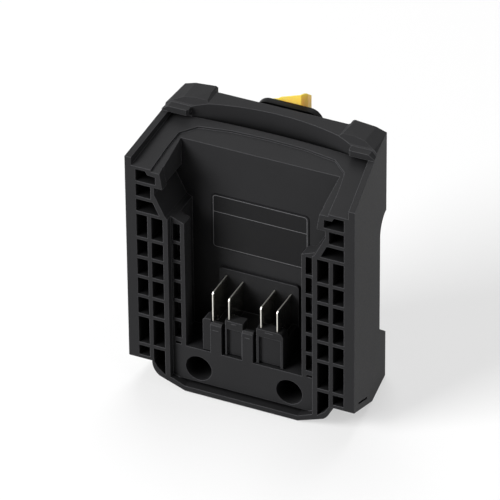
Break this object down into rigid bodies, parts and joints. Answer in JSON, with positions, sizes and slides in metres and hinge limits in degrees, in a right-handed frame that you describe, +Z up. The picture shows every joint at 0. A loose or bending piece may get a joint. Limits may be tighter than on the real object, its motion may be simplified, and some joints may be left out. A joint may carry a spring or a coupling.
{
  "type": "tool battery adapter",
  "caption": "Battery adapter: ribbed slide-on rails with blade terminals in front, corner pads and a keyed amber power plug at the rear",
  "frame": {"origin": "centre of the overall box's lower face", "axes": "+X to the right across the rails, +Y from the battery side to the tool side, +Z up along the rails"},
  "size_m": [0.095, 0.058, 0.1161],
  "materials": {
    "housing_plastic": "fine-textured black glass-filled nylon",
    "cover_plastic": "black moulded plastic, slightly smoother",
    "terminal_plastic": "black moulded insulator",
    "panel_film": "bare dark film",
    "nickel": "nickel-plated copper, rolled",
    "plug_plastic": "amber moulded nylon",
    "gold": "gold-plated brass, turned",
    "board": "green solder-masked fibreglass",
    "chip": "black epoxy package",
    "can": "bare aluminium can",
    "fuse_ceramic": "ceramic body with tinned caps",
    "red_wire": "red silicone insulation",
    "black_wire": "black silicone insulation",
    "sense_wire": "white thin insulation",
    "steel": "black-zinc steel"
  },
  "bodies": {
    "root": {"front_housing": "housing_plastic", "rear_cover": "cover_plastic", "terminal_block": "terminal_plastic", "rating_panel": "panel_film", "blade_negative": "nickel", "blade_sense_left": "nickel", "blade_sense_right": "nickel", "blade_positive": "nickel", "plug_flange": "cover_plastic", "power_plug": "plug_plastic", "contact_negative": "gold", "contact_positive": "gold", "circuit_board": "board", "control_chip": "chip", "transistor_left": "chip", "transistor_right": "chip", "capacitor": "can", "fuse": "fuse_ceramic", "current_shunt": "nickel", "wire_battery_negative": "black_wire", "wire_battery_positive": "red_wire", "wire_plug_negative": "black_wire", "wire_plug_positive": "red_wire", "wire_sense_left": "sense_wire", "wire_sense_right": "sense_wire", "board_screws": "steel", "cover_screws": "steel", "well_screws": "steel", "flange_screws": "steel", "terminal_screw": "steel"}
  },
  "joints": []
}
